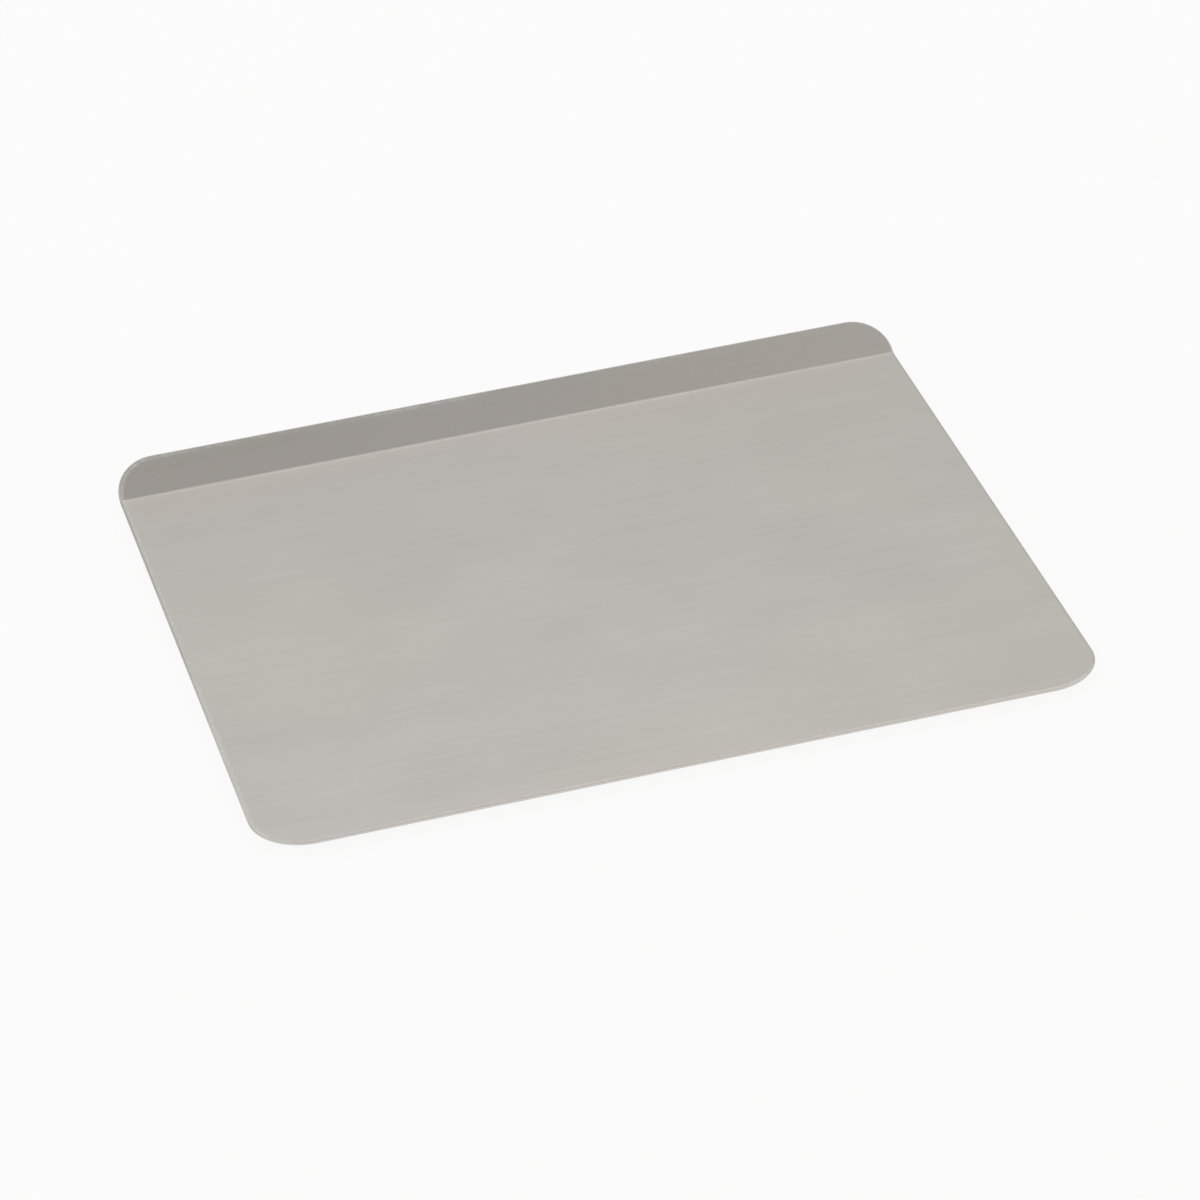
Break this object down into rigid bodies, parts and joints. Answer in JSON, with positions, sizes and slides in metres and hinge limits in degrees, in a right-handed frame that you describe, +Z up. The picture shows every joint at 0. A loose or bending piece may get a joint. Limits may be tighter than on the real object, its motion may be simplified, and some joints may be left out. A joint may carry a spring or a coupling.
{
  "type": "cookie sheet",
  "caption": "Flat rectangular insulated cookie sheet of satin aluminium, with rounded corners, a folded rim and a raised lip along a long edge to grip it by.",
  "frame": {"origin": "on the table under the middle of the sheet's plan", "axes": "+X along the lip, +Y from the front edge towards the lip, +Z up from the base to the baking surface"},
  "size_m": [0.4064, 0.3556, 0.0194],
  "materials": {
    "top_aluminium": "satin, fine rolled grain along the lip, warm light grey",
    "base_aluminium": "dull mill finish, fine rolled grain along the lip"
  },
  "bodies": {
    "root": {"top_sheet": "top_aluminium", "bottom_sheet": "base_aluminium"}
  },
  "joints": []
}
